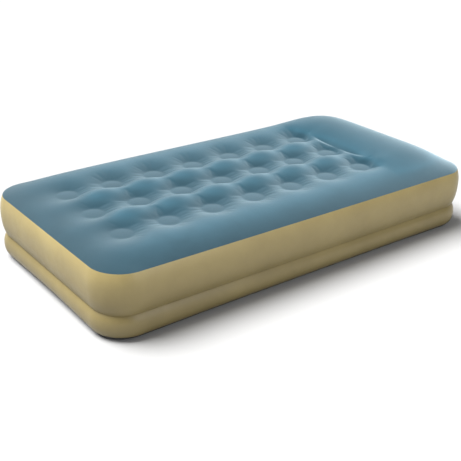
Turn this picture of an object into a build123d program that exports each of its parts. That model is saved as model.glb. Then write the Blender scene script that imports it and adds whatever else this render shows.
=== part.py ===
"""Single air mattress with a built-in pillow: welded PVC skin, 21 inner coils and a screw-in valve.

+X points to the head end, +Y to the sleeper's left, +Z up. The origin is the middle of the underside.
All sizes are in millimetres.
"""

import os

from math import sqrt

from build123d import *

# --- Overall sizes -------------------------------------------------------------------------------
length = 1910.0
width = 970.0
corner_radius = 133.0  # plan radius of the outermost line of the wall
skin = 0.8  # thickness of every sheet
weld_tab = 10.0  # sheets turn inwards by this much and are welded face to face
clearance = 0.3  # gap between pieces that turn, slide or are pressed together
running_fit = 0.1  # radial gap round a stem or hinge pin

# --- Heights -------------------------------------------------------------------------------------
bottom_seam_z = 12.0
lower_band_height = 91.0
upper_band_height = 168.0
crown_rise = 47.0  # from the top seam to the flat of the sleeping surface between the dimples
pillow_rise = 34.0  # from there to the top of the pillow

# --- Bulge of the two wall bands: each is an arc, and the upper one is widest half way up ---------
upper_bulge_radius = 474.0
lower_bulge_radius = 187.0
lower_apex_height = 48.0  # where the lower one is widest, above the bottom seam
lower_apex_inset = 2.5

# --- Crowned edges -------------------------------------------------------------------------------
crown_run = 124.0  # how far in from the seam the top sheet reaches its full height
foot_run = 30.0  # the same for the underside

# --- Dimples and coils ---------------------------------------------------------------------------
coil_columns = 7
coil_rows = 3
foot_zone = 217.5  # from the outermost line of the foot wall to the first coils
head_zone = 453.5  # the same from the head wall, past the pillow
side_zone = 268.0  # the same from each long wall
weld_margin = 1.0  # the flat disc of a dimple is this much wider than the coil's flange
top_dimple_depth = 33.0
top_dimple_run = 36.0  # width of the rounded slope round the disc
under_dimple_depth = 12.0
under_dimple_run = 22.0
coil_radius = 42.0
coil_flange_lip = 3.0  # a flange stands out this far round its tube
coil_port_radius = 8.0
coil_port_heights = (70.0, 150.0, 230.0)

# --- Pillow --------------------------------------------------------------------------------------
crease_gap = 24.0  # from the last weld discs to the crease in front of the pillow
pillow_lead = 30.0  # the pillow's own curve starts this far in front of the crease
pillow_border = 50.0  # from the pillow's foot to the outermost line of the wall
pillow_corner_radius = 168.0
pillow_run = 160.0
pillow_root = 18.0  # the pillow's own curve starts this far below the crown
crease_drop = 20.0  # how far the baffle pulls the top sheet down
crease_radius = 60.0  # of the rounded valley along the crease
baffle_half_length = 205.0
baffle_port_radius = 16.0
baffle_port_pitch = 85.0
baffle_port_count = 5

# --- Inner web at the girth seam -----------------------------------------------------------------
girth_web_width = 70.0
girth_web_setback = 4.0  # its edge lies this far inside the seam, between the two weld tabs

# --- Valve, on the head wall; its axis is along X ------------------------------------------------
valve_y = 250.0
flange_lip = 15.0  # the base's flange stands out this far round the collar
flange_thickness = 2.0
collar_bore = 22.5
collar_wall = 2.5
collar_depth = 26.0
collar_stand = 3.0  # collar's front face above the wall
seal_thickness = 1.2
rim_lip = 5.0  # the insert's rim stands out this far round the collar
rim_thickness = 3.0
rim_grips = 24
grip_radius = 1.4
skirt_wall = 2.0
skirt_depth = 20.0
nozzle_bore = 13.0  # takes an inflator's nozzle
neck_wall = 3.0
neck_stand = 4.8  # neck's mouth above the rim
nozzle_depth = 23.0
seat_thickness = 2.0
seat_window_radius = 2.6
seat_window_circle = 8.4
seat_windows = 6
stem_radius = 2.0
stem_head_radius = 4.5
stem_head_thickness = 1.2
diaphragm_radius = 15.0
diaphragm_thickness = 1.2
diaphragm_travel = 3.0
cap_wall = 2.2
cap_top = 2.0
cap_hinge_gap = 2.1  # between the cap and the eye of its hinge
cap_hinge_stand = 2.7  # hinge line's height above the rim
cap_foot_gap = 1.5  # lets the cap swing clear of the neck
hinge_width = 10.0
hinge_pin_radius = 1.2
hinge_eye_radius = 2.4
hinge_lug_width = 2.4
strap_thickness = 1.5
lift_tab_reach = 6.0
lift_tab_width = 12.0

# --- Values that follow from those above ---------------------------------------------------------
girth_z = bottom_seam_z + lower_band_height
top_seam_z = girth_z + upper_band_height
crown_z = top_seam_z + crown_rise
pillow_z = crown_z + pillow_rise
pillow_base_z = crown_z - pillow_root
upper_apex_z = (girth_z + top_seam_z) / 2
lower_apex_z = bottom_seam_z + lower_apex_height
valve_z = upper_apex_z
collar_radius = collar_bore + collar_wall
flange_radius = collar_radius + flange_lip
rim_radius = collar_radius + rim_lip
column_pitch = (length - head_zone - foot_zone) / (coil_columns - 1)
row_pitch = (width - 2 * side_zone) / (coil_rows - 1)
columns = [foot_zone - length / 2 + column_pitch * n for n in range(coil_columns)]
rows = [side_zone - width / 2 + row_pitch * n for n in range(coil_rows)]
coil_flange_radius = coil_radius + coil_flange_lip
weld_radius = coil_flange_radius + weld_margin
top_floor_z = crown_z - top_dimple_depth
half_skin = skin / 2
crease_x = columns[-1] + weld_radius + crease_gap
pillow_front_x = crease_x - pillow_lead
pillow_back_x = length / 2 - pillow_border


def arc_inset(radius, apex_z, apex_inset, z):
    """Inset at height z of a wall that bulges on the given radius."""
    return apex_inset + radius - sqrt(radius**2 - (z - apex_z) ** 2)


def rise_radius(run, rise):
    """Radius of an arc that starts level and drops by rise over run."""
    return (run**2 + rise**2) / (2 * rise)


top_seam_inset = arc_inset(upper_bulge_radius, upper_apex_z, 0, top_seam_z)
girth_inset = arc_inset(upper_bulge_radius, upper_apex_z, 0, girth_z)
bottom_seam_inset = arc_inset(lower_bulge_radius, lower_apex_z, lower_apex_inset, bottom_seam_z)
crown_radius = rise_radius(crown_run, crown_z - top_seam_z)
foot_radius = rise_radius(foot_run, bottom_seam_z)
pillow_radius = rise_radius(pillow_run, pillow_z - pillow_base_z)


def draw_wall(radius, apex_z, apex_inset, low_z, high_z):
    """Bulged sheet between two seams, its edges turned inwards as weld tabs."""
    outer_low = arc_inset(radius, apex_z, apex_inset, low_z)
    outer_high = arc_inset(radius, apex_z, apex_inset, high_z)
    inner_low = arc_inset(radius - skin, apex_z, apex_inset + skin, low_z + skin)
    inner_high = arc_inset(radius - skin, apex_z, apex_inset + skin, high_z - skin)
    with BuildLine() as outline:
        ThreePointArc((outer_low, low_z), (apex_inset, apex_z), (outer_high, high_z))
        Polyline(
            (outer_high, high_z),
            (outer_high + weld_tab, high_z),
            (outer_high + weld_tab, high_z - skin),
            (inner_high, high_z - skin),
        )
        ThreePointArc((inner_high, high_z - skin), (apex_inset + skin, apex_z), (inner_low, low_z + skin))
        Polyline(
            (inner_low, low_z + skin),
            (outer_low + weld_tab, low_z + skin),
            (outer_low + weld_tab, low_z),
            (outer_low, low_z),
        )
    make_face(outline.edges())


def draw_rise(edge_inset, edge_z, run, level_z, offset):
    """Area between a crowned edge and the height of its seam; offset shrinks it by a sheet."""
    way = 1 if level_z > edge_z else -1
    radius = rise_radius(run, abs(level_z - edge_z))
    centre = (edge_inset + run, level_z - way * radius)
    small = radius - offset
    foot = centre[0] - sqrt(small**2 - (edge_z - centre[1]) ** 2)
    half = (centre[0] - foot) / 2
    middle = (centre[0] - half, centre[1] + way * sqrt(small**2 - half**2))
    with BuildLine() as outline:
        ThreePointArc((foot, edge_z), middle, (centre[0], centre[1] + way * small))
        Polyline((centre[0], centre[1] + way * small), (centre[0], edge_z), (foot, edge_z))
    make_face(outline.edges())


def draw_strip(inset, low_z, strip_width, thickness):
    """Flat strip lying level, from the given inset inwards."""
    with BuildLine() as outline:
        Polyline(
            (inset, low_z),
            (inset + strip_width, low_z),
            (inset + strip_width, low_z + thickness),
            (inset, low_z + thickness),
            close=True,
        )
    make_face(outline.edges())


def carry_round(draw, sizes, plan=(length, width, corner_radius), centre_x=0.0):
    """Carries a profile, drawn as (inset, height), round a rounded rectangle."""
    half_x = plan[0] / 2
    half_y = plan[1] / 2
    turn_x = half_x - plan[2]
    turn_y = half_y - plan[2]
    with BuildPart() as ring:
        with BuildSketch(Plane((0, -half_y, 0), x_dir=(0, 1, 0), z_dir=(1, 0, 0))):
            draw(*sizes)
        extrude(amount=turn_x)
        with BuildSketch(Plane((turn_x, -half_y, 0), x_dir=(0, 1, 0), z_dir=(1, 0, 0))):
            draw(*sizes)
        revolve(axis=Axis((turn_x, -turn_y, 0), (0, 0, 1)), revolution_arc=90)
        with BuildSketch(Plane((half_x, -turn_y, 0), x_dir=(-1, 0, 0), z_dir=(0, 1, 0))):
            draw(*sizes)
        extrude(amount=turn_y)
        mirror(about=Plane.XZ)
        mirror(about=Plane.YZ)
    return Pos(centre_x, 0, 0) * ring.part


def draw_dimple(run, depth, level_z, way, offset):
    """Half section of the hollow over a weld disc; way is 1 for the top sheet, -1 for the underside."""
    radius = rise_radius(run, depth)
    mouth = weld_radius + run
    small = radius - offset
    foot = mouth - sqrt(small**2 - (radius - depth - offset) ** 2)
    half = (mouth - foot) / 2
    centre_z = level_z - way * radius
    floor_z = level_z - way * (depth + offset)
    brim_z = level_z + way * depth
    middle = (mouth - half, centre_z + way * sqrt(small**2 - half**2))
    with BuildLine() as outline:
        ThreePointArc((foot, floor_z), middle, (mouth, centre_z + way * small))
        Polyline(
            (mouth, centre_z + way * small),
            (mouth, brim_z),
            (0, brim_z),
            (0, floor_z),
            (foot, floor_z),
        )
    make_face(outline.edges())


def dimple_grid(run, depth, level_z, way, offset):
    """The 21 hollows of one sheet, as separate solids."""
    with BuildPart() as hollow:
        with BuildSketch(Plane.XZ):
            draw_dimple(run, depth, level_z, way, offset)
        revolve(axis=Axis.Z)
    return [Pos(x, y, 0) * hollow.part for x in columns for y in rows]


os.makedirs("parts", exist_ok=True)

# --- Top sheet: crowned, dimpled over each coil, and raised into a pillow at the head ------------
pillow_plan = (pillow_back_x - pillow_front_x, width - 2 * pillow_border, pillow_corner_radius)
pillow_x = (pillow_front_x + pillow_back_x) / 2


def under_top_sheet(offset):
    """Everything below the sleeping surface, down to the top seam; offset shrinks it by a sheet."""
    crown_edge = carry_round(draw_rise, (top_seam_inset, top_seam_z, crown_run, crown_z, offset))
    pillow_edge = carry_round(
        draw_rise, (0, pillow_base_z, pillow_run, pillow_z, offset), pillow_plan, pillow_x
    )
    inset = top_seam_inset + crown_run
    with BuildPart() as mound:
        add(crown_edge)
        with BuildSketch(Plane.XY.offset(top_seam_z)):
            RectangleRounded(length - 2 * inset, width - 2 * inset, corner_radius - inset)
        extrude(amount=crown_z - top_seam_z - offset)
        add(pillow_edge)
        with BuildSketch(Plane.XY.offset(pillow_base_z)):
            with Locations((pillow_x, 0)):
                RectangleRounded(
                    pillow_plan[0] - 2 * pillow_run,
                    pillow_plan[1] - 2 * pillow_run,
                    pillow_corner_radius - pillow_run,
                )
        extrude(amount=pillow_z - pillow_base_z - offset)
        crease_z = crown_z - crease_drop + crease_radius
        with BuildSketch(Plane((crease_x, 0, crease_z), x_dir=(1, 0, 0), z_dir=(0, -1, 0))):
            Circle(crease_radius + offset)
        extrude(amount=baffle_half_length, both=True, mode=Mode.SUBTRACT)
        with Locations((crease_x, baffle_half_length, crease_z), (crease_x, -baffle_half_length, crease_z)):
            Sphere(crease_radius + offset, mode=Mode.SUBTRACT)
        add(dimple_grid(top_dimple_run, top_dimple_depth, crown_z, 1, offset), mode=Mode.SUBTRACT)
    return mound.part


top_outside = under_top_sheet(0)
top_inside = under_top_sheet(skin)
top_tab = carry_round(draw_strip, (top_seam_inset, top_seam_z, weld_tab, skin))
with BuildPart() as top_sheet:
    add(top_outside)
    add(top_inside, mode=Mode.SUBTRACT)
    add(top_tab)
top_sheet.part.label = "top_sheet"
export_step(top_sheet.part, "parts/top_sheet.step")

# --- Upper and lower side bands, with the hole for the valve -------------------------------------
upper_ring = carry_round(
    draw_wall, (upper_bulge_radius, upper_apex_z, 0, girth_z + half_skin, top_seam_z)
)
with BuildPart() as upper_side_band:
    add(upper_ring)
    with BuildSketch(Plane((length / 2, valve_y, valve_z), x_dir=(0, 1, 0), z_dir=(1, 0, 0))):
        Circle(collar_radius + clearance)
    extrude(amount=weld_tab, both=True, mode=Mode.SUBTRACT)
upper_side_band.part.label = "upper_side_band"
export_step(upper_side_band.part, "parts/upper_side_band.step")

lower_ring = carry_round(
    draw_wall,
    (lower_bulge_radius, lower_apex_z, lower_apex_inset, bottom_seam_z, girth_z - half_skin),
)
with BuildPart() as lower_side_band:
    add(lower_ring)
lower_side_band.part.label = "lower_side_band"
export_step(lower_side_band.part, "parts/lower_side_band.step")

# --- Girth web: flat belt welded between the two bands, which pinches the wall -------------------
web_inset = girth_inset + girth_web_setback
web_ring = carry_round(draw_strip, (web_inset, girth_z - half_skin, girth_web_width, skin))
with BuildPart() as girth_web:
    add(web_ring)
girth_web.part.label = "girth_web"
export_step(girth_web.part, "parts/girth_web.step")

# --- Bottom sheet: flat, with a shallow hollow under each coil -----------------------------------


def over_bottom_sheet(offset):
    """Everything between the bottom seam and the underside; offset shrinks it by a sheet."""
    foot_edge = carry_round(draw_rise, (bottom_seam_inset, bottom_seam_z, foot_run, 0, offset))
    inset = bottom_seam_inset + foot_run
    with BuildPart() as base:
        add(foot_edge)
        with BuildSketch(Plane.XY.offset(offset)):
            RectangleRounded(length - 2 * inset, width - 2 * inset, corner_radius - inset)
        extrude(amount=bottom_seam_z - offset)
    return base.part


bottom_outside = over_bottom_sheet(0)
bottom_inside = over_bottom_sheet(skin)
bottom_tab = carry_round(draw_strip, (bottom_seam_inset, bottom_seam_z - skin, weld_tab, skin))
under_hollows = dimple_grid(under_dimple_run, under_dimple_depth, 0, -1, 0)
under_linings = dimple_grid(under_dimple_run, under_dimple_depth, 0, -1, skin)
with BuildPart() as bottom_sheet:
    add(bottom_outside)
    add(bottom_inside, mode=Mode.SUBTRACT)
    add(bottom_tab)
    add(under_linings)
    add(under_hollows, mode=Mode.SUBTRACT)
bottom_sheet.part.label = "bottom_sheet"
export_step(bottom_sheet.part, "parts/bottom_sheet.step")

# --- Coils: perforated tubes welded between the two sheets, which keep the bed flat --------------
coil_low_z = under_dimple_depth + skin
coil_high_z = top_floor_z - skin
coil_height = coil_high_z - coil_low_z
for row, y in enumerate(rows, start=1):
    for column, x in enumerate(columns, start=1):
        with BuildPart() as coil:
            with BuildSketch(Plane.XY.offset(coil_low_z)):
                with Locations((x, y)):
                    Circle(coil_flange_radius)
            extrude(amount=skin)
            with BuildSketch(Plane.XY.offset(coil_high_z)):
                with Locations((x, y)):
                    Circle(coil_flange_radius)
            extrude(amount=-skin)
            with BuildSketch(Plane.XY.offset(coil_low_z)):
                with Locations((x, y)):
                    Circle(coil_radius)
            extrude(amount=coil_height)
            with BuildSketch(Plane.XY.offset(coil_low_z)):
                with Locations((x, y)):
                    Circle(coil_radius - skin)
            extrude(amount=coil_height, mode=Mode.SUBTRACT)
            with BuildSketch(Plane((x, y, 0), x_dir=(1, 0, 0), z_dir=(0, -1, 0))):
                with Locations(*[(0, z) for z in coil_port_heights]):
                    Circle(coil_port_radius)
            extrude(amount=coil_flange_radius, both=True, mode=Mode.SUBTRACT)
            with BuildSketch(Plane((x, y, 0), x_dir=(0, 1, 0), z_dir=(1, 0, 0))):
                with Locations(*[(0, z) for z in coil_port_heights]):
                    Circle(coil_port_radius)
            extrude(amount=coil_flange_radius, both=True, mode=Mode.SUBTRACT)
        coil.part.label = f"coil_{row}_{column}"
        export_step(coil.part, f"parts/coil_{row}_{column}.step")

# --- Pillow baffle: upright sheet that holds down the crease between the bed and the pillow ------
with BuildPart() as pillow_baffle:
    with BuildSketch(Plane.XY.offset(skin)):
        with Locations((crease_x, 0)):
            Rectangle(skin, 2 * baffle_half_length)
    extrude(amount=crown_z - crease_drop - 2 * skin)
    with BuildSketch(Plane((crease_x, 0, crown_z / 2), x_dir=(0, 1, 0), z_dir=(1, 0, 0))):
        with GridLocations(baffle_port_pitch, 0, baffle_port_count, 1):
            Circle(baffle_port_radius)
    extrude(amount=weld_tab, both=True, mode=Mode.SUBTRACT)
pillow_baffle.part.label = "pillow_baffle"
export_step(pillow_baffle.part, "parts/pillow_baffle.step")

# --- Valve base: flange welded to the head wall, with the collar the insert screws into ----------
# Distances along the valve's axis are measured outwards from the outermost line of the wall.
wall_x = length / 2


def across_valve(along):
    """Plane square to the valve's axis, its own Z pointing out of the wall and its Y pointing up."""
    return Plane((wall_x + along, valve_y, valve_z), x_dir=(0, 1, 0), z_dir=(1, 0, 0))


with BuildPart() as valve_base:
    with BuildSketch(across_valve(clearance)):
        Circle(flange_radius)
    extrude(amount=flange_thickness)
    with BuildSketch(across_valve(collar_stand)):
        Circle(collar_radius)
    extrude(amount=-(collar_depth + collar_stand))
    with BuildSketch(across_valve(collar_stand)):
        Circle(collar_bore)
    extrude(amount=-(collar_depth + collar_stand), mode=Mode.SUBTRACT)
valve_base.part.label = "valve_base"
export_step(valve_base.part, "parts/valve_base.step")

# --- Valve gasket: washer squeezed between the collar and the insert's rim -----------------------
gasket_at = collar_stand
with BuildPart() as valve_gasket:
    with BuildSketch(across_valve(gasket_at)):
        Circle(collar_radius)
        Circle(collar_bore, mode=Mode.SUBTRACT)
    extrude(amount=seal_thickness)
valve_gasket.part.label = "valve_gasket"
export_step(valve_gasket.part, "parts/valve_gasket.step")

# --- Valve insert: gripped rim, skirt, inflation nozzle and the seat for the diaphragm -----------
rim_at = gasket_at + seal_thickness
rim_face = rim_at + rim_thickness
mouth_at = rim_face + neck_stand
nozzle_end = mouth_at - nozzle_depth
neck_radius = nozzle_bore + neck_wall
skirt_radius = collar_bore - clearance
cap_inside = neck_radius + clearance
cap_radius = cap_inside + cap_wall
hinge_at = rim_face + cap_hinge_stand
cap_hinge_reach = cap_radius + cap_hinge_gap + hinge_eye_radius
half_hinge = hinge_width / 2
with BuildPart() as valve_insert:
    with BuildSketch(across_valve(rim_at)):
        Circle(rim_radius)
        with PolarLocations(rim_radius, rim_grips):
            Circle(grip_radius)
    extrude(amount=rim_thickness)
    with BuildSketch(across_valve(rim_at)):
        Circle(skirt_radius)
        Circle(skirt_radius - skirt_wall, mode=Mode.SUBTRACT)
    extrude(amount=-skirt_depth)
    with BuildSketch(across_valve(mouth_at)):
        Circle(neck_radius)
    extrude(amount=-nozzle_depth)
    with BuildSketch(across_valve(mouth_at)):
        Circle(nozzle_bore)
    extrude(amount=seat_thickness - nozzle_depth, mode=Mode.SUBTRACT)
    with BuildSketch(across_valve(nozzle_end)):
        Circle(stem_radius + running_fit)
        with PolarLocations(seat_window_circle, seat_windows):
            Circle(seat_window_radius)
    extrude(amount=seat_thickness, mode=Mode.SUBTRACT)
    for side in (-1, 1):
        lug_y = valve_y + side * (half_hinge + clearance + hinge_lug_width / 2)
        lug_plane = Plane((0, lug_y, 0), x_dir=(1, 0, 0), z_dir=(0, -1, 0))
        with BuildSketch(lug_plane):
            with Locations((wall_x + hinge_at, valve_z + cap_hinge_reach)):
                Circle(hinge_eye_radius)
            with Locations((wall_x + (rim_at + hinge_at) / 2, valve_z + cap_hinge_reach)):
                Rectangle(hinge_at - rim_at, 2 * hinge_eye_radius)
            with Locations((wall_x + hinge_at, valve_z + cap_hinge_reach)):
                Circle(hinge_pin_radius + running_fit, mode=Mode.SUBTRACT)
        extrude(amount=hinge_lug_width / 2, both=True)
valve_insert.part.label = "valve_insert"
export_step(valve_insert.part, "parts/valve_insert.step")

# --- Diaphragm: silicone disc that air pushes inwards off the seat; its stem runs through it -----
with BuildPart() as valve_diaphragm:
    with BuildSketch(across_valve(nozzle_end - clearance)):
        Circle(diaphragm_radius)
    extrude(amount=-diaphragm_thickness)
    with BuildSketch(across_valve(nozzle_end - clearance)):
        Circle(stem_radius)
    extrude(amount=clearance + seat_thickness + diaphragm_travel + clearance + stem_head_thickness)
    with BuildSketch(across_valve(nozzle_end + seat_thickness + diaphragm_travel + clearance)):
        Circle(stem_head_radius)
    extrude(amount=stem_head_thickness)
valve_diaphragm.part.label = "valve_diaphragm"
export_step(valve_diaphragm.part, "parts/valve_diaphragm.step")

# --- Cap: snaps over the nozzle's neck; strap and hinge pin above, lift tab below ----------------
# Its hinge web stays on the cap's side of the hinge line, so that the cap folds back clear of the rim.
cap_foot = rim_face + cap_foot_gap
cap_face = mouth_at + clearance + cap_top
strap_low_z = cap_hinge_reach - cap_inside
pin_half_length = half_hinge + clearance + hinge_lug_width
with BuildPart() as valve_cap:
    with BuildSketch(across_valve(cap_foot)):
        Circle(cap_radius)
    extrude(amount=cap_face - cap_foot)
    with BuildSketch(across_valve(cap_face - strap_thickness)):
        with Locations((0, cap_inside + strap_low_z / 2)):
            Rectangle(hinge_width, strap_low_z)
        with Locations((0, -cap_radius - lift_tab_reach / 2 + cap_wall / 2)):
            Rectangle(lift_tab_width, lift_tab_reach + cap_wall)
    extrude(amount=strap_thickness)
    with BuildSketch(across_valve(cap_foot)):
        Circle(cap_inside)
    extrude(amount=mouth_at + clearance - cap_foot, mode=Mode.SUBTRACT)
    with BuildSketch(Plane((0, valve_y, 0), x_dir=(1, 0, 0), z_dir=(0, -1, 0))):
        with Locations((wall_x + hinge_at, valve_z + cap_hinge_reach)):
            Circle(hinge_eye_radius)
        with Locations((wall_x + (hinge_at + cap_face) / 2, valve_z + cap_hinge_reach - hinge_pin_radius)):
            Rectangle(cap_face - hinge_at, 2 * hinge_pin_radius)
    extrude(amount=half_hinge, both=True)
    with BuildSketch(Plane((0, valve_y, 0), x_dir=(1, 0, 0), z_dir=(0, -1, 0))):
        with Locations((wall_x + hinge_at, valve_z + cap_hinge_reach)):
            Circle(hinge_pin_radius)
    extrude(amount=pin_half_length, both=True)
valve_cap.part.label = "valve_cap"
export_step(valve_cap.part, "parts/valve_cap.step")
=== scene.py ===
from math import cos, pi, radians, sin, sqrt

import bmesh
import bpy
import numpy as np
from mathutils import Matrix, Vector, noise
from mathutils.geometry import delaunay_2d_cdt


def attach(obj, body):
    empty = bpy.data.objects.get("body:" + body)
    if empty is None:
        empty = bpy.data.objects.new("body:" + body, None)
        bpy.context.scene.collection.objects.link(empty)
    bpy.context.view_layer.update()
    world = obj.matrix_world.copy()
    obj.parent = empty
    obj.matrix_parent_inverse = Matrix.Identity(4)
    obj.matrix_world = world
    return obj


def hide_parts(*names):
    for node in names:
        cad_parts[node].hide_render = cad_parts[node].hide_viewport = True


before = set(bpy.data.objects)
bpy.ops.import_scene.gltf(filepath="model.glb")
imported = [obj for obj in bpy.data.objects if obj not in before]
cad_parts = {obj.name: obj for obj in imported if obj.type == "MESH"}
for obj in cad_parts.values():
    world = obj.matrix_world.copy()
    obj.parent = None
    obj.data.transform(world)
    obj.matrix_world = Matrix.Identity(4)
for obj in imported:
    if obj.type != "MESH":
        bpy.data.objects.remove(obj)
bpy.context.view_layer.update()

# Bottom sheet. On the real bed it is a plain black vinyl sheet that lies on the ground. It is
# turned up a little all round and welded to the lower band, so only its edge shows.
wall_half_length = 0.955
wall_half_width = 0.485
wall_corner_radius = 0.133
bottom_seam_z = 0.017
bottom_seam_inset = 0.0089
bottom_turn_up = 0.030
bottom_flat_inset = 0.08
long_side_bow = 0.004
ground_pull = 0.010
ground_pull_height = 0.085


def wall_stations(spacing=0.012, corner_steps=26):
    """Stations round the wall: x and y inside it, the outward direction, and how far into a corner."""
    run_x = wall_half_length - wall_corner_radius
    run_y = wall_half_width - wall_corner_radius
    steps_x = round(2 * run_x / spacing)
    steps_y = round(2 * run_y / spacing)
    stations = []
    for turn, (corner_x, corner_y) in enumerate([(1, -1), (1, 1), (-1, 1), (-1, -1)]):
        start = -90 + 90 * turn
        for step in range(corner_steps):
            angle = radians(start + 90 * step / corner_steps)
            bend = sin(pi * step / corner_steps)
            stations.append((corner_x * run_x, corner_y * run_y, cos(angle), sin(angle), bend))
        steps = steps_y if turn % 2 == 0 else steps_x
        along = [(0, 1), (-1, 0), (0, -1), (1, 0)][turn]
        reach = run_y if turn % 2 == 0 else run_x
        out = [(1, 0), (0, 1), (-1, 0), (0, -1)][turn]
        for step in range(steps):
            way = 2 * reach * step / steps
            x = corner_x * run_x + along[0] * way
            y = corner_y * run_y + along[1] * way
            stations.append((x, y, out[0], out[1], 0.0))
    return stations


stations = wall_stations()


def side_bow(x, y, z=1.0):
    """How far the sides bow outwards between their corners, and are drawn in next to the ground."""
    drawn_in = ground_pull * max(0.0, 1 - z / ground_pull_height) ** 2
    if abs(x) > abs(y) + wall_half_length - wall_half_width:
        return -drawn_in * max(0.0, 1 - (y / 0.40) ** 2) ** 2
    bow = long_side_bow * (1 - (x / wall_half_length) ** 2) * (1 - (y / wall_half_width) ** 2 * 0.2)
    return bow - drawn_in * max(0.0, 1 - (x / 0.86) ** 4) ** 2


def wall_mesh(name, profile, wrinkle=None):
    """Strip round the wall from (inset, height) points; wrinkle(x, y, z, corner) moves it outwards."""
    verts = []
    for inset, z in profile:
        for foot_x, foot_y, out_x, out_y, corner in stations:
            push = wall_corner_radius - inset
            x = foot_x + out_x * push
            y = foot_y + out_y * push
            if corner == 0:
                extra = side_bow(x, y, z)
            else:
                extra = side_bow(x, y) * abs(out_y) ** 2
            if wrinkle:
                extra += wrinkle(x, y, z, corner)
            verts.append((x + out_x * extra, y + out_y * extra, z))
    around = len(stations)
    faces = []
    for row in range(len(profile) - 1):
        low = row * around
        high = low + around
        for step in range(around):
            after = (step + 1) % around
            faces.append((low + step, low + after, high + after, high + step))
    mesh = bpy.data.meshes.new(name)
    mesh.from_pydata(verts, [], faces)
    mesh.validate()
    piece = bpy.data.objects.new(name, mesh)
    bpy.context.scene.collection.objects.link(piece)
    for polygon in mesh.polygons:
        polygon.use_smooth = True
    return piece


def new_material(name, colour, roughness):
    """Material with its plain colour and roughness set, ready for its texture nodes."""
    material = bpy.data.materials.new(name)
    material.use_nodes = True
    shader = material.node_tree.nodes["Principled BSDF"]
    shader.inputs["Base Color"].default_value = (*colour, 1)
    shader.inputs["Roughness"].default_value = roughness
    return material, material.node_tree, shader


def add_node(tree, kind, inputs=None, **settings):
    """One shader node with its settings and unlinked inputs."""
    node = tree.nodes.new(kind)
    for key, value in settings.items():
        setattr(node, key, value)
    for key, value in (inputs or {}).items():
        node.inputs[key].default_value = value
    return node


def paint_light_and_shade_by_height(tree, where, colour, light_and_shade):
    """Paints light and shade into a colour: lightens or darkens it by (height, share) pairs, the lowest
    and the highest first.
    """
    split = add_node(tree, "ShaderNodeSeparateXYZ")
    low = min(z for z, share in light_and_shade)
    high = max(z for z, share in light_and_shade)
    level = add_node(tree, "ShaderNodeMapRange", {"From Min": low, "From Max": high})
    ramp = add_node(tree, "ShaderNodeValToRGB")
    stops = ramp.color_ramp.elements
    for n, (z, share) in enumerate(light_and_shade):
        place = (z - low) / (high - low)
        stop = stops[n] if n < 2 else stops.new(place)
        stop.position = place
        stop.color = (share / 2, share / 2, share / 2, 1)
    double = add_node(tree, "ShaderNodeVectorMath", {1: (2.0, 2.0, 2.0)}, operation="MULTIPLY")
    product = add_node(tree, "ShaderNodeVectorMath", operation="MULTIPLY")
    tree.links.new(where.outputs["Object"], split.inputs["Vector"])
    tree.links.new(split.outputs["Z"], level.inputs["Value"])
    tree.links.new(level.outputs["Result"], ramp.inputs["Fac"])
    tree.links.new(ramp.outputs["Color"], double.inputs[0])
    tree.links.new(double.outputs["Vector"], product.inputs[0])
    tree.links.new(colour, product.inputs[1])
    return product.outputs["Vector"]


def vinyl(name, dark, light, roughness, grain_scale, grain_height, light_and_shade=None):
    """Calendered vinyl: cloudy colour, fine grain, handling marks, and painted light and shade up the
    wall.
    """
    middle = [(a + b) / 2 for a, b in zip(dark, light)]
    material, tree, shader = new_material(name, middle, roughness)
    where = add_node(tree, "ShaderNodeTexCoord")
    clouds = add_node(tree, "ShaderNodeTexNoise", {"Scale": 6.0, "Detail": 5.0, "Roughness": 0.6})
    tint = add_node(tree, "ShaderNodeValToRGB")
    tint.color_ramp.elements[0].position = 0.3
    tint.color_ramp.elements[0].color = (*dark, 1)
    tint.color_ramp.elements[1].position = 0.7
    tint.color_ramp.elements[1].color = (*light, 1)
    scuffs = add_node(tree, "ShaderNodeTexNoise", {"Scale": 22.0, "Detail": 6.0, "Roughness": 0.7})
    gloss_range = {"From Min": 0.3, "From Max": 0.7}
    gloss_range.update({"To Min": roughness - 0.05, "To Max": roughness + 0.08})
    gloss = add_node(tree, "ShaderNodeMapRange", gloss_range)
    grain = add_node(tree, "ShaderNodeTexVoronoi", {"Scale": grain_scale}, feature="F1")
    bump = add_node(tree, "ShaderNodeBump", {"Strength": 0.35, "Distance": grain_height})
    links = tree.links
    links.new(where.outputs["Object"], clouds.inputs["Vector"])
    links.new(clouds.outputs["Fac"], tint.inputs["Fac"])
    colour = tint.outputs["Color"]
    if light_and_shade:
        colour = paint_light_and_shade_by_height(tree, where, colour, light_and_shade)
    links.new(colour, shader.inputs["Base Color"])
    links.new(where.outputs["Object"], scuffs.inputs["Vector"])
    links.new(scuffs.outputs["Fac"], gloss.inputs["Value"])
    links.new(gloss.outputs["Result"], shader.inputs["Roughness"])
    links.new(where.outputs["Object"], grain.inputs["Vector"])
    links.new(grain.outputs["Distance"], bump.inputs["Height"])
    links.new(bump.outputs["Normal"], shader.inputs["Normal"])
    return material


def soften(piece, levels=1):
    """Subdivision surface, one level unless more is asked for."""
    smooth = piece.modifiers.new("smooth", "SUBSURF")
    smooth.levels = levels
    smooth.render_levels = levels


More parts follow.
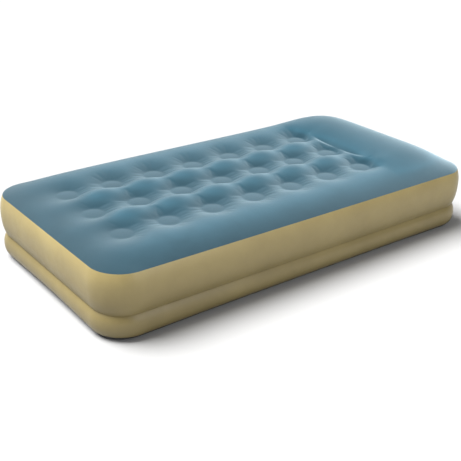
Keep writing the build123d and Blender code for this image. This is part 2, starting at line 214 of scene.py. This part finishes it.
bottom_profile = [(bottom_seam_inset, bottom_seam_z)]
turn_radius = (bottom_turn_up**2 + bottom_seam_z**2) / (2 * bottom_seam_z)
for step in range(1, 9):
    across = bottom_turn_up * step / 8
    drop = turn_radius - sqrt(turn_radius**2 - (bottom_turn_up - across) ** 2)
    bottom_profile.append((bottom_seam_inset + across, drop))
bottom_profile.append((bottom_flat_inset, 0.0))
black_vinyl = vinyl("black_vinyl", (0.012, 0.012, 0.014), (0.022, 0.022, 0.024), 0.5, 900, 0.0002)
bottom_skin = wall_mesh("bottom_skin", bottom_profile)
under = bmesh.new()
under.from_mesh(bottom_skin.data)
under.verts.ensure_lookup_table()
rim = under.verts[-len(stations):]
under.faces.new(list(reversed(rim)))
under.to_mesh(bottom_skin.data)
under.free()
bottom_skin.data.materials.append(black_vinyl)
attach(bottom_skin, "bed")
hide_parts("bottom_sheet")

# Coils and pillow baffle. Inside the real bed each dimple is tied to the bottom sheet by a vinyl
# tube with air ports, and an upright vinyl sheet holds down the crease. They are welded at both ends.
inner_vinyl = vinyl("inner_vinyl", (0.60, 0.60, 0.57), (0.70, 0.70, 0.67), 0.45, 700, 0.0002)


def finish_cad_node(node, material):
    """Gives a CAD node the finish of its own material."""
    piece = bpy.data.objects[node]
    piece.data.materials.clear()
    piece.data.materials.append(material)
    return piece


for row in (1, 2, 3):
    for column in range(1, 8):
        finish_cad_node(f"coil_{row}_{column}", inner_vinyl)
finish_cad_node("pillow_baffle", inner_vinyl)

# Lower band, girth web and upper band. On the real bed the wall is two strips of tan vinyl. They are
# welded to each other and to a flat inner web, which pulls the seam in, so each strip bulges.
girth_z = 0.103
top_seam_z = 0.271
girth_inset = 0.0112
top_seam_inset = 0.0075
lower_bulge = -0.003
upper_bulge = -0.006
# Painted light and shade up the tan wall: each strip lighter towards its top weld and darker towards its
# bottom weld, as overhead light falls on its bulge.
wall_light_and_shade = [(0.02, 0.60), (0.29, 1.16)]
wall_light_and_shade += [(0.07, 0.80), (0.099, 0.86), (0.106, 0.66), (0.18, 0.92), (0.25, 1.12)]
tan_dark = (0.250, 0.195, 0.076)
tan_light = (0.300, 0.237, 0.094)
tan_vinyl = vinyl("tan_vinyl", tan_dark, tan_light, 0.42, 520, 0.00025, wall_light_and_shade)


def bulge_profile(low, high, out_inset, steps, fullness=2.0):
    """Profile of one inflated strip between its two welds, rounder close to the welds than an arc."""
    points = []
    for step in range(steps + 1):
        share = 0.5 - 0.5 * cos(pi * (step / steps))
        z = low[1] + (high[1] - low[1]) * share
        chord = low[0] + (high[0] - low[0]) * share
        swell = 1 - abs(2 * share - 1) ** fullness
        points.append((chord + (out_inset - (low[0] + high[0]) / 2) * swell, z))
    return points


def lower_wrinkles(x, y, z, corner):
    """Short upright gathers where the strip is eased round the corners, strongest next to the welds."""
    if corner == 0:
        return 0.0
    near_bottom = max(0.0, 1 - (z - bottom_seam_z) / 0.035)
    near_girth = max(0.0, 1 - (girth_z - z) / 0.02)
    wave = noise.noise(Vector((x * 70, y * 70, z * 6)))
    return corner * (0.0016 * near_bottom + 0.0007 * near_girth) * wave


def upper_wrinkles(x, y, z, corner):
    """Faint gathers at the corners of the upper strip, and a slight unevenness along its straights."""
    near_girth = max(0.0, 1 - (z - girth_z) / 0.03)
    slow = 0.0006 * noise.noise(Vector((x * 4, y * 4, z * 9)))
    if corner == 0:
        return slow * sin(pi * (z - girth_z) / (top_seam_z - girth_z))
    wave = noise.noise(Vector((x * 55, y * 55, z * 5)))
    return corner * 0.0009 * near_girth * wave


lower_weld = (bottom_seam_inset, bottom_seam_z)
girth_weld = (girth_inset, girth_z)
lower_profile = bulge_profile(lower_weld, girth_weld, lower_bulge, 22, 2.4)
lower_skin = wall_mesh("lower_band_skin", lower_profile, lower_wrinkles)
soften(lower_skin)
lower_skin.data.materials.append(tan_vinyl)
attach(lower_skin, "bed")
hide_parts("lower_side_band")

finish_cad_node("girth_web", inner_vinyl)

upper_profile = bulge_profile(girth_weld, (top_seam_inset, top_seam_z), upper_bulge, 30, 2.6)
upper_skin = wall_mesh("upper_band_skin", upper_profile, upper_wrinkles)
valve_y = 0.25
valve_z = 0.187
head_wall_x = 0.9
flat_patch_radius = 0.042
hole_radius = 0.030


def near_valve(point, reach):
    """Whether a point lies on the head wall and within reach of the valve's axis."""
    across = sqrt((point.y - valve_y) ** 2 + (point.z - valve_z) ** 2)
    return point.x > head_wall_x and across < reach


cut = bmesh.new()
cut.from_mesh(upper_skin.data)
for vert in cut.verts:
    if near_valve(vert.co, flat_patch_radius):
        vert.co.x = min(vert.co.x, wall_half_length - 0.0002)
covered = [face for face in cut.faces if near_valve(face.calc_center_median(), hole_radius)]
bmesh.ops.delete(cut, geom=covered, context="FACES")
cut.to_mesh(upper_skin.data)
cut.free()
soften(upper_skin)
upper_skin.data.materials.append(tan_vinyl)
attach(upper_skin, "bed")
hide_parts("upper_side_band")

# Valve. The real one is injection moulded: a base welded to the wall, a screw-in insert with a
# gripped rim and a nozzle, a silicone gasket and diaphragm, and a cap that snaps over the nozzle.


def moulded(name, colour, roughness):
    """Moulded plastic with a fine spark-eroded texture and a faint mottling of its gloss."""
    material, tree, shader = new_material(name, colour, roughness)
    where = add_node(tree, "ShaderNodeTexCoord")
    mottle = add_node(tree, "ShaderNodeTexNoise", {"Scale": 60.0, "Detail": 4.0})
    gloss_range = {"From Min": 0.35, "From Max": 0.65}
    gloss_range.update({"To Min": roughness - 0.06, "To Max": roughness + 0.06})
    gloss = add_node(tree, "ShaderNodeMapRange", gloss_range)
    shade = add_node(tree, "ShaderNodeValToRGB")
    shade.color_ramp.elements[0].color = (*[c * 0.9 for c in colour], 1)
    shade.color_ramp.elements[1].color = (*[min(1.0, c * 1.1) for c in colour], 1)
    grit = add_node(tree, "ShaderNodeTexNoise", {"Scale": 1800.0, "Detail": 2.0})
    bump = add_node(tree, "ShaderNodeBump", {"Strength": 0.3, "Distance": 0.0001})
    links = tree.links
    links.new(where.outputs["Object"], mottle.inputs["Vector"])
    links.new(mottle.outputs["Fac"], gloss.inputs["Value"])
    links.new(gloss.outputs["Result"], shader.inputs["Roughness"])
    links.new(mottle.outputs["Fac"], shade.inputs["Fac"])
    links.new(shade.outputs["Color"], shader.inputs["Base Color"])
    links.new(where.outputs["Object"], grit.inputs["Vector"])
    links.new(grit.outputs["Fac"], bump.inputs["Height"])
    links.new(bump.outputs["Normal"], shader.inputs["Normal"])
    return material


dark_plastic = moulded("dark_valve_plastic", (0.035, 0.038, 0.042), 0.42)
blue_plastic = moulded("blue_cap_plastic", (0.075, 0.125, 0.18), 0.40)
silicone = moulded("silicone", (0.62, 0.62, 0.58), 0.55)
finish_cad_node("valve_base", dark_plastic)
finish_cad_node("valve_insert", dark_plastic)
finish_cad_node("valve_cap", blue_plastic)
finish_cad_node("valve_gasket", silicone)
finish_cad_node("valve_diaphragm", silicone)

# Top sheet. The real one is flocked vinyl, cut flat, welded round its edge to the upper band and at
# 21 discs to the coils. Air pressure lifts it between the welds, and the baffle holds the crease.
coil_columns = [-0.118 + 0.2065 * step for step in (-3, -2, -1, 0, 1, 2, 3)]
coil_rows = [-0.217, 0.0, 0.217]
weld_disc_radius = 0.046
disc_z = 0.2876
disc_crown = 0.0012
disc_rings = [(0.75, 24), (0.5, 16), (0.25, 8)]  # share of the disc's radius, and points round it
crease_x = 0.5695
crease_z = 0.2995
crease_end_rise = 0.019
point_spacing = 0.0095
quilt_pull = 2.1
weld_stiffness = 5.0
start_z = 0.30


def inset_of(x, y):
    """Distance in from the line of the top seam."""
    run_x = wall_half_length - wall_corner_radius
    run_y = wall_half_width - wall_corner_radius
    over_x = max(abs(x) - run_x, 0.0)
    over_y = max(abs(y) - run_y, 0.0)
    if over_x > 0 and over_y > 0:
        return wall_corner_radius - sqrt(over_x**2 + over_y**2) - top_seam_inset
    return min(wall_half_length - abs(x), wall_half_width - abs(y)) - top_seam_inset


def crease_line():
    """Plan of the crease: straight behind the last coils, its ends swinging round the pillow."""
    points = []
    for step in range(-30, 31):
        y = 0.285 * step / 30
        swing = max(0.0, abs(y) - 0.165)
        points.append((crease_x + 2.6 * swing**2 + 14 * swing**3, y))
    return points


seam_points = []
for foot_x, foot_y, out_x, out_y, corner in stations:
    push = wall_corner_radius - top_seam_inset
    x = foot_x + out_x * push
    y = foot_y + out_y * push
    extra = side_bow(x, y) * (abs(out_y) if corner == 0 else abs(out_y) ** 2)
    seam_points.append((x + out_x * extra, y + out_y * extra))

plan = list(seam_points)
plan_edges = [(n, (n + 1) % len(plan)) for n in range(len(plan))]
for centre_x in coil_columns:
    for centre_y in coil_rows:
        first = len(plan)
        count = 32
        for step in range(count):
            angle = 2 * pi * step / count
            x = centre_x + weld_disc_radius * cos(angle)
            plan.append((x, centre_y + weld_disc_radius * sin(angle)))
            plan_edges.append((first + step, first + (step + 1) % count))
        for share, count in disc_rings:
            ring_radius = weld_disc_radius * share
            for step in range(count):
                angle = 2 * pi * (step + 0.5) / count
                plan.append((centre_x + ring_radius * cos(angle), centre_y + ring_radius * sin(angle)))
        plan.append((centre_x, centre_y))
crease = crease_line()
first = len(plan)
plan += crease
plan_edges += [(first + n, first + n + 1) for n in range(len(crease) - 1)]
crease_array = np.array(crease)
row_height = point_spacing * sqrt(3) / 2
for j in range(int(-0.49 / row_height), int(0.49 / row_height) + 1):
    for i in range(-105, 106):
        x = (i + 0.5 * (j % 2)) * point_spacing
        y = j * row_height
        if inset_of(x, y) < point_spacing * 0.6:
            continue
        near_x = min(coil_columns, key=lambda c: abs(c - x))
        near_y = min(coil_rows, key=lambda c: abs(c - y))
        if (x - near_x) ** 2 + (y - near_y) ** 2 < (weld_disc_radius + point_spacing * 0.55) ** 2:
            continue
        crease_near = np.min(np.hypot(crease_array[:, 0] - x, crease_array[:, 1] - y))
        if crease_near < point_spacing * 0.55:
            continue
        plan.append((x, y))
flat_verts, _, flat_faces, *_ = delaunay_2d_cdt([Vector(p) for p in plan], plan_edges, [], 1, 1e-6)
flat = np.array([(v.x, v.y) for v in flat_verts])
tris = np.array([list(f) for f in flat_faces if len(f) == 3])

inset = np.array([inset_of(x, y) for x, y in flat])
seam_array = np.array(seam_points)
seam_gap = np.full(len(flat), 9.0)
for n in np.nonzero(inset < 0.012)[0]:
    seam_gap[n] = np.min(np.hypot(seam_array[:, 0] - flat[n, 0], seam_array[:, 1] - flat[n, 1]))
on_seam = seam_gap < 1e-4
disc_gap = np.full(len(flat), 9.0)
for centre_x in coil_columns:
    for centre_y in coil_rows:
        disc_gap = np.minimum(disc_gap, np.hypot(flat[:, 0] - centre_x, flat[:, 1] - centre_y))
on_disc = disc_gap < weld_disc_radius + 1e-4
crease_gap = np.array([np.min(np.hypot(crease_array[:, 0] - x, crease_array[:, 1] - y)) for x, y in flat])
on_crease = (crease_gap < 1e-4) & (np.abs(flat[:, 1]) < 0.215)
fixed = on_seam | on_disc | on_crease
height = np.zeros(len(flat))
height[on_seam] = top_seam_z
height[on_disc] = disc_z + disc_crown * (1 - (disc_gap[on_disc] / weld_disc_radius) ** 2)
crease_end = np.clip((np.abs(flat[on_crease, 1]) - 0.09) / 0.125, 0, 1)
height[on_crease] = crease_z + crease_end_rise * crease_end * crease_end * (3 - 2 * crease_end)


def smooth_share(value, low, high):
    """0 at low, 1 at high, and an even slope between."""
    share = np.clip((value - low) / (high - low), 0, 1)
    return share * share * (3 - 2 * share)


def swell_pressure(x, y, s, disc):
    """Air lift over sheet tension: less beside a weld disc or the seam, most on the ridges between."""
    lift = 25.0 * (0.45 + 0.55 * smooth_share(disc, 0.05, 0.09))
    border = smooth_share(s, 0.24, 0.15)
    lift += border * (5.7 - lift) * 0.92
    off_row = np.min(np.abs(y[:, None] - np.array(coil_rows)), axis=1)
    lip = smooth_share(x, 0.535, 0.550) * smooth_share(x, 0.572, 0.562)
    lip = lip * smooth_share(np.abs(y), 0.30, 0.24)
    lift += lip * (5 + 34 * smooth_share(off_row, 0.07, 0.02))
    behind = smooth_share(x, 0.572, 0.60)
    lift += behind * (3.5 + 2.2 * smooth_share(np.abs(y), 0.16, 0.34) - lift)
    return lift * (1 - 0.75 * smooth_share(s, 0.11, 0.02))


pressure = swell_pressure(flat[:, 0], flat[:, 1], inset, disc_gap)
corner_a, corner_b, corner_c = (flat[tris[:, n]] for n in range(3))
side_b = corner_b - corner_a
side_c = corner_c - corner_a
double_area = side_b[:, 0] * side_c[:, 1] - side_c[:, 0] * side_b[:, 1]
slopes = []
for one, two in ((1, 2), (2, 0), (0, 1)):
    first_corner = flat[tris[:, one]]
    second_corner = flat[tris[:, two]]
    slope_x = (first_corner[:, 1] - second_corner[:, 1]) / double_area
    slope_y = (second_corner[:, 0] - first_corner[:, 0]) / double_area
    slopes.append(np.stack([slope_x, slope_y], axis=1))
area = np.abs(double_area) / 2
tri_middle = flat[tris].mean(axis=1)
quilted = tri_middle[:, 0] < 0.53
stiffness = 1 + (weld_stiffness - 1) * smooth_share(disc_gap[tris].mean(axis=1), 0.105, 0.046) * quilted
lengthwise = np.where(quilted, quilt_pull, 1.0)
load = np.zeros(len(flat))
rows_index, columns_index, weights = [], [], []
for one in range(3):
    load += np.bincount(tris[:, one], pressure[tris[:, one]] * area / 3, minlength=len(flat))
    for two in range(3):
        rows_index.append(tris[:, one])
        columns_index.append(tris[:, two])
        along = lengthwise * slopes[one][:, 0] * slopes[two][:, 0]
        weights.append((along + slopes[one][:, 1] * slopes[two][:, 1]) * stiffness * area)
rows_index = np.concatenate(rows_index)
columns_index = np.concatenate(columns_index)
weights = np.concatenate(weights)


def tension(values):
    """Pull of the stretched sheet on each of its points."""
    return np.bincount(rows_index, weights * values[columns_index], minlength=len(flat))


free = ~fixed
height[free] = start_z
residual = np.where(free, load - tension(height), 0.0)
direction = residual.copy()
strength = residual @ residual
for _ in range(900):
    pulled = np.where(free, tension(direction), 0.0)
    step_length = strength / (direction @ pulled)
    height += step_length * direction
    residual -= step_length * pulled
    fresh = residual @ residual
    if fresh < 1e-16:
        break
    direction = residual + (fresh / strength) * direction
    strength = fresh

top_mesh = bpy.data.meshes.new("top_skin")
top_mesh.from_pydata([(x, y, z) for (x, y), z in zip(flat.tolist(), height.tolist())], [], tris.tolist())
top_mesh.validate()
top_skin = bpy.data.objects.new("top_skin", top_mesh)
bpy.context.scene.collection.objects.link(top_skin)
for polygon in top_mesh.polygons:
    polygon.use_smooth = True


def inflate(piece, held_points, frames, air):
    """Cloth simulation: air lifts the sheet between its welds, and it settles into its own creases."""
    held = piece.vertex_groups.new(name="welded")
    held.add([int(n) for n in held_points], 1.0, "REPLACE")
    cloth = piece.modifiers.new("air", "CLOTH")
    cloth.settings.quality = 6
    cloth.settings.mass = 0.25
    cloth.settings.tension_stiffness = 8
    cloth.settings.compression_stiffness = 8
    cloth.settings.shear_stiffness = 6
    cloth.settings.bending_stiffness = 0.6
    cloth.settings.tension_damping = 15
    cloth.settings.compression_damping = 15
    cloth.settings.air_damping = 4
    cloth.settings.vertex_group_mass = "welded"
    cloth.settings.use_pressure = True
    cloth.settings.uniform_pressure_force = air
    cloth.settings.effector_weights.gravity = 0
    cloth.collision_settings.use_collision = False
    cloth.point_cache.frame_start = 1
    cloth.point_cache.frame_end = frames
    bpy.context.scene.frame_end = frames
    for frame_number in range(1, frames + 1):
        bpy.context.scene.frame_set(frame_number)
    settled = piece.evaluated_get(bpy.context.evaluated_depsgraph_get()).data
    after = np.array([v.co[:] for v in settled.vertices])
    piece.modifiers.remove(cloth)
    bpy.context.scene.frame_set(1)
    return after


cloth_frames = 18
inflated = inflate(top_skin, np.nonzero(fixed)[0], cloth_frames, air=9.0)
top_mesh.vertices.foreach_set("co", inflated.ravel())
top_mesh.update()
soften(top_skin)


def flock(name, dark, light):
    """Flocking: short upright fibres that scatter light, with faint brushed patches, a soft sheen, and
    painted light and shade by height.
    """
    middle = [(a + b) / 2 for a, b in zip(dark, light)]
    material, tree, shader = new_material(name, middle, 0.92)
    shader.inputs["Sheen Weight"].default_value = 1.0
    shader.inputs["Sheen Roughness"].default_value = 0.44
    shader.inputs["Sheen Tint"].default_value = (0.70, 0.90, 1.0, 1)
    shader.inputs["Specular IOR Level"].default_value = 0.2
    where = add_node(tree, "ShaderNodeTexCoord")
    brush_marks = {"Scale": 9.0, "Detail": 4.0, "Roughness": 0.55, "Distortion": 0.6}
    brushed = add_node(tree, "ShaderNodeTexNoise", brush_marks)
    fibres = add_node(tree, "ShaderNodeTexNoise", {"Scale": 900.0, "Detail": 3.0, "Roughness": 0.7})
    mixed = add_node(tree, "ShaderNodeMath", {1: 0.35}, operation="MULTIPLY")
    summed = add_node(tree, "ShaderNodeMath", operation="MULTIPLY_ADD")
    summed.inputs[1].default_value = 0.65
    tint = add_node(tree, "ShaderNodeValToRGB")
    tint.color_ramp.elements[0].position = 0.3
    tint.color_ramp.elements[0].color = (*dark, 1)
    tint.color_ramp.elements[1].position = 0.7
    tint.color_ramp.elements[1].color = (*light, 1)
    bump = add_node(tree, "ShaderNodeBump", {"Strength": 0.4, "Distance": 0.0004})
    links = tree.links
    links.new(where.outputs["Object"], brushed.inputs["Vector"])
    links.new(where.outputs["Object"], fibres.inputs["Vector"])
    links.new(brushed.outputs["Fac"], summed.inputs[0])
    links.new(fibres.outputs["Fac"], mixed.inputs[0])
    links.new(mixed.outputs["Value"], summed.inputs[2])
    links.new(summed.outputs["Value"], tint.inputs["Fac"])
    # Painted light and shade on the top: darkest at the seam, dark on the weld discs, and a painted
    # highlight on the crests between them.
    pile_light_and_shade = [(0.272, 0.62), (0.352, 0.92)]
    pile_light_and_shade += [(0.290, 0.72), (0.303, 0.86), (0.316, 1.18), (0.330, 1.0)]
    colour = paint_light_and_shade_by_height(tree, where, tint.outputs["Color"], pile_light_and_shade)
    links.new(colour, shader.inputs["Base Color"])
    links.new(fibres.outputs["Fac"], bump.inputs["Height"])
    links.new(bump.outputs["Normal"], shader.inputs["Normal"])
    return material


blue_flock = flock("blue_flock", (0.009, 0.046, 0.068), (0.016, 0.063, 0.092))
top_skin.data.materials.append(blue_flock)
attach(top_skin, "bed")
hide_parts("top_sheet")

# Studio. A wide plain pale floor, a broad soft light high over the far side, a weaker soft box at
# the front right, and the camera at standing height off the foot end.
floor_reach = 80
floor_mesh = bpy.data.meshes.new("floor")
floor_corners = [(x * floor_reach, y * floor_reach, 0) for x, y in ((-1, -1), (1, -1), (1, 1), (-1, 1))]
floor_mesh.from_pydata(floor_corners, [], [(0, 1, 2, 3)])
floor = bpy.data.objects.new("floor", floor_mesh)
bpy.context.scene.collection.objects.link(floor)
paper, paper_tree, paper_shader = new_material("studio_paper", (0.42, 0.42, 0.42), 0.9)
floor.data.materials.append(paper)

world = bpy.data.worlds.new("studio")
bpy.context.scene.world = world
world.use_nodes = True
world.node_tree.nodes["Background"].inputs["Color"].default_value = (1, 1, 1, 1)
world.node_tree.nodes["Background"].inputs["Strength"].default_value = 0.22


def soft_light(name, place, target, size, watts):
    """Square soft box aimed at a point."""
    lamp = bpy.data.lights.new(name, "AREA")
    lamp.shape = "SQUARE"
    lamp.size = size
    lamp.energy = watts
    light = bpy.data.objects.new(name, lamp)
    light.location = place
    light.rotation_euler = (Vector(target) - Vector(place)).to_track_quat("-Z", "Y").to_euler()
    bpy.context.scene.collection.objects.link(light)
    return light


sun = bpy.data.lights.new("overhead", "SUN")
sun.energy = 8.0
sun.angle = radians(42)
overhead = bpy.data.objects.new("overhead", sun)
overhead.rotation_euler = Vector((0.38, -0.38, -1.0)).to_track_quat("-Z", "Y").to_euler()
bpy.context.scene.collection.objects.link(overhead)
soft_light("front_right", (0.4, -3.4, 1.3), (0, -0.6, 0.0), 1.8, 42)

lens = bpy.data.cameras.new("camera")
lens.sensor_width = 36
lens.lens = 63.7
camera = bpy.data.objects.new("camera", lens)
heading = Matrix.Rotation(radians(-38.03), 4, "Z")
tilt = Matrix.Rotation(radians(90 - 25.33), 4, "X")
roll = Matrix.Rotation(radians(1.68), 4, "Z")
camera.matrix_world = Matrix.Translation((-2.088, -2.591, 1.592)) @ (heading @ tilt @ roll)
bpy.context.scene.collection.objects.link(camera)
bpy.context.scene.camera = camera
bpy.context.scene.view_settings.view_transform = "Standard"
